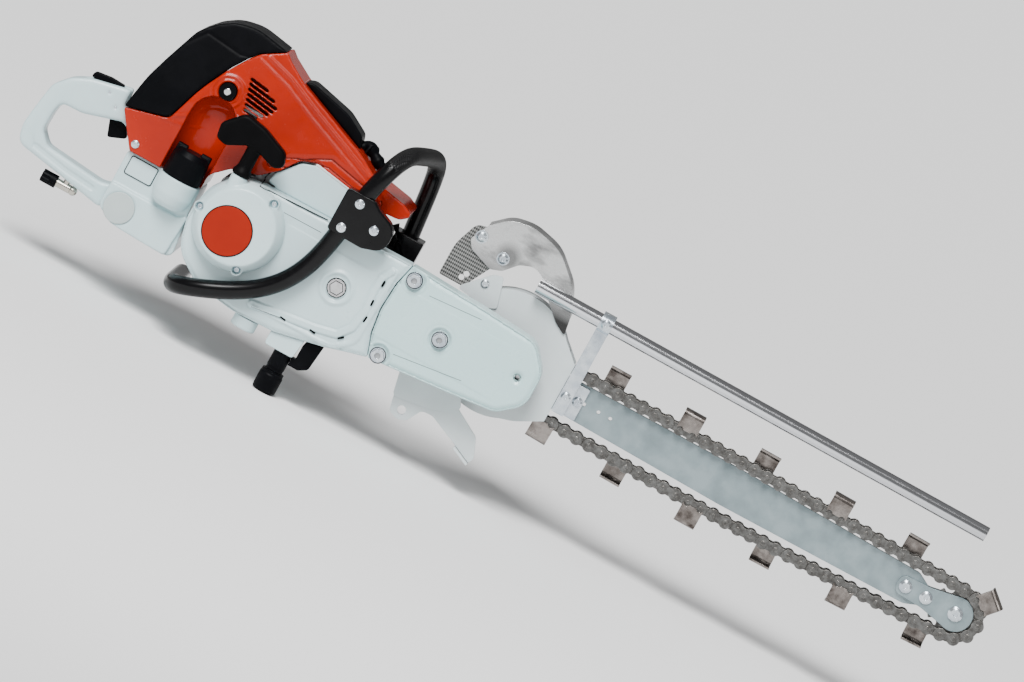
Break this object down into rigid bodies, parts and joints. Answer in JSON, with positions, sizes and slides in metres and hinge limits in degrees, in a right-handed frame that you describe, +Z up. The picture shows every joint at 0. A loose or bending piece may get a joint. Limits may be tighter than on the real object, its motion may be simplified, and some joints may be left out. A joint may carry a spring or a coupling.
{
  "type": "hand-held chain trencher",
  "caption": "Hand-held petrol trencher: engine unit with two handles whose cutting arm drives a digging chain round a long bar.",
  "frame": {"origin": "bottom centre of the bounding box, machine level with the bar horizontal", "axes": "+X forward along the bar, +Y to the machine's left, +Z up"},
  "size_m": [1.4602, 0.2202, 0.417],
  "materials": {
    "body_white": "satin",
    "guard_white": "satin",
    "shroud_orange": "glossy",
    "badge": "glossy",
    "black_plastic": "matte",
    "grip_black": "matte",
    "black_metal": "glossy",
    "cast_alloy": "cast",
    "dark_steel": "dull",
    "machined_steel": "machined",
    "chain_steel": "worn",
    "belt_rubber": "matte",
    "ceramic_white": "glazed",
    "filter_paper": "matte",
    "mount_rubber": "matte",
    "bright_chrome": "polished",
    "brass_fitting": "satin",
    "rope": "matte",
    "pale_sheet": "satin",
    "stainless": "brushed",
    "woven_flap": "woven",
    "polished_rod": "polished",
    "zinc": "zinc plated",
    "bar_steel": "satin"
  },
  "bodies": {
    "housing": {"chain_inner_links": "chain_steel", "chain_outer_links": "chain_steel", "guide_bar": "bar_steel", "nose_plates": "bar_steel", "bar_clamp_plates": "zinc", "deflector": "stainless", "deflector_flap": "woven_flap", "rod_bracket": "zinc", "cutting_arm": "cast_alloy", "belt_guard": "guard_white", "belt_housing": "body_white", "v_belt": "belt_rubber", "crankcase": "cast_alloy", "cylinder": "cast_alloy", "silencer": "dark_steel", "carburettor": "cast_alloy", "air_filter": "filter_paper", "shroud": "shroud_orange", "filter_cover": "black_plastic", "plug_cover": "black_plastic", "side_panel": "body_white", "decompression_valve": "black_plastic", "fan_cover": "body_white", "starter_cover": "body_white", "starter_rope": "rope", "tank_housing": "body_white", "rear_handle": "body_white", "water_tap": "brass_fitting", "front_handle": "black_metal", "attachment_bolts": "zinc", "cover_screws": "zinc", "cutters": "chain_steel", "skid_bracket": "pale_sheet", "ball_bearings": "machined_steel", "spark_plug": "ceramic_white", "vibration_mounts": "mount_rubber", "hose_coupling": "black_plastic", "blank_badges": "badge", "sprocket_housing": "pale_sheet", "underside_lugs": "body_white", "handle_brackets": "black_metal"},
    "engine_rotor": {"crankshaft": "machined_steel", "flywheel_fan": "cast_alloy"},
    "clutch_drum": {"clutch_drum": "dark_steel"},
    "spindle": {"spindle": "machined_steel", "driven_pulley": "machined_steel", "drive_sprocket": "chain_steel"},
    "nose_sprocket": {"nose_sprocket": "chain_steel"},
    "piston": {"piston": "cast_alloy"},
    "trigger": {"throttle_trigger": "black_plastic"},
    "lockout": {"throttle_lockout": "black_plastic"},
    "cap_plug": {"fuel_cap_plug": "black_plastic"},
    "fuel_cap": {"fuel_cap": "black_plastic"},
    "starter_grip": {"starter_grip": "grip_black"},
    "starter_reel": {"starter_reel": "black_plastic"},
    "decompression_button": {"decompression_button": "bright_chrome"},
    "water_tap_knob": {"water_tap_knob": "black_plastic"},
    "coupling_sleeve": {"coupling_sleeve": "black_plastic"},
    "belt_tensioner": {"belt_tensioner": "machined_steel"},
    "guard_rod": {"guard_rod": "polished_rod"}
  },
  "joints": [
    {"name": "crank_spin", "type": "hinge", "parent": "housing", "child": "engine_rotor", "pos_m": [-0.4086, 0.00572, 0.181], "axis": [0, 1, 0], "continuous": true},
    {"name": "clutch_drum_spin", "type": "hinge", "parent": "housing", "child": "clutch_drum", "pos_m": [-0.4086, -0.06128, 0.181], "axis": [0, 1, 0], "continuous": true, "deforming": ["v_belt"]},
    {"name": "spindle_spin", "type": "hinge", "parent": "housing", "child": "spindle", "pos_m": [-0.0126, 0.00572, 0.181], "axis": [0, 1, 0], "continuous": true, "deforming": ["chain_inner_links", "chain_outer_links", "cutters"]},
    {"name": "nose_sprocket_spin", "type": "hinge", "parent": "housing", "child": "nose_sprocket", "pos_m": [0.67781, 0.00572, 0.181], "axis": [0, 1, 0], "continuous": true},
    {"name": "piston_slide", "type": "slide", "parent": "housing", "child": "piston", "axis": [0, 0, 1], "range_m": [-0.012, 0.022]},
    {"name": "trigger_pull", "type": "hinge", "parent": "housing", "child": "trigger", "pos_m": [-0.6316, 0.00572, 0.231], "axis": [0, 1, 0], "range_deg": [0, 14], "stiffness_Nm_per_rad": 0.6, "springref_deg": -11.46},
    {"name": "lockout_press", "type": "hinge", "parent": "housing", "child": "lockout", "pos_m": [-0.6486, 0.00572, 0.245], "axis": [0, 1, 0], "range_deg": [-7, 0], "stiffness_Nm_per_rad": 0.6, "springref_deg": 11.46},
    {"name": "fuel_cap_lift", "type": "slide", "parent": "housing", "child": "cap_plug", "axis": [0, 0, 1], "range_m": [0, 0.045]},
    {"name": "fuel_cap_turn", "type": "hinge", "parent": "cap_plug", "child": "fuel_cap", "pos_m": [-0.50811, -0.05628, 0.238], "axis": [0, 0, 1], "range_deg": [0, 90]},
    {"name": "starter_pull", "type": "slide", "parent": "housing", "child": "starter_grip", "axis": [0, 0, 1], "range_m": [0, 0.7], "stiffness_N_per_m": 12, "springref_m": -0.25, "deforming": ["starter_rope"]},
    {"name": "starter_reel_spin", "type": "hinge", "parent": "housing", "child": "starter_reel", "pos_m": [-0.4086, -0.09628, 0.181], "axis": [0, 1, 0], "range_deg": [0, 1400]},
    {"name": "decompression_press", "type": "slide", "parent": "housing", "child": "decompression_button", "axis": [0, 1, 0], "range_m": [0, 0.004], "stiffness_N_per_m": 600, "springref_m": -0.002},
    {"name": "water_tap_turn", "type": "hinge", "parent": "housing", "child": "water_tap_knob", "pos_m": [-0.6626, -0.00228, 0.103], "axis": [1, 0, 0], "range_deg": [0, 90]},
    {"name": "coupling_release", "type": "slide", "parent": "housing", "child": "coupling_sleeve", "axis": [0, 0, 1], "range_m": [0, 0.005], "stiffness_N_per_m": 800, "springref_m": -0.002},
    {"name": "belt_tensioner_turn", "type": "hinge", "parent": "housing", "child": "belt_tensioner", "pos_m": [-0.25561, -0.08428, 0.172], "axis": [0, 1, 0], "range_deg": [-90, 90]},
    {"name": "guard_rod_slide", "type": "slide", "parent": "housing", "child": "guard_rod", "axis": [1, 0, 0], "range_m": [-0.045, 0.03]}
  ],
  "couplings": [
    {"joint": "clutch_drum_spin", "follows": "crank_spin", "ratio": 1},
    {"joint": "spindle_spin", "follows": "crank_spin", "ratio": 0.55},
    {"joint": "nose_sprocket_spin", "follows": "crank_spin", "ratio": 0.6},
    {"joint": "starter_reel_spin", "follows": "starter_pull", "rad_per_m": 33.898}
  ]
}
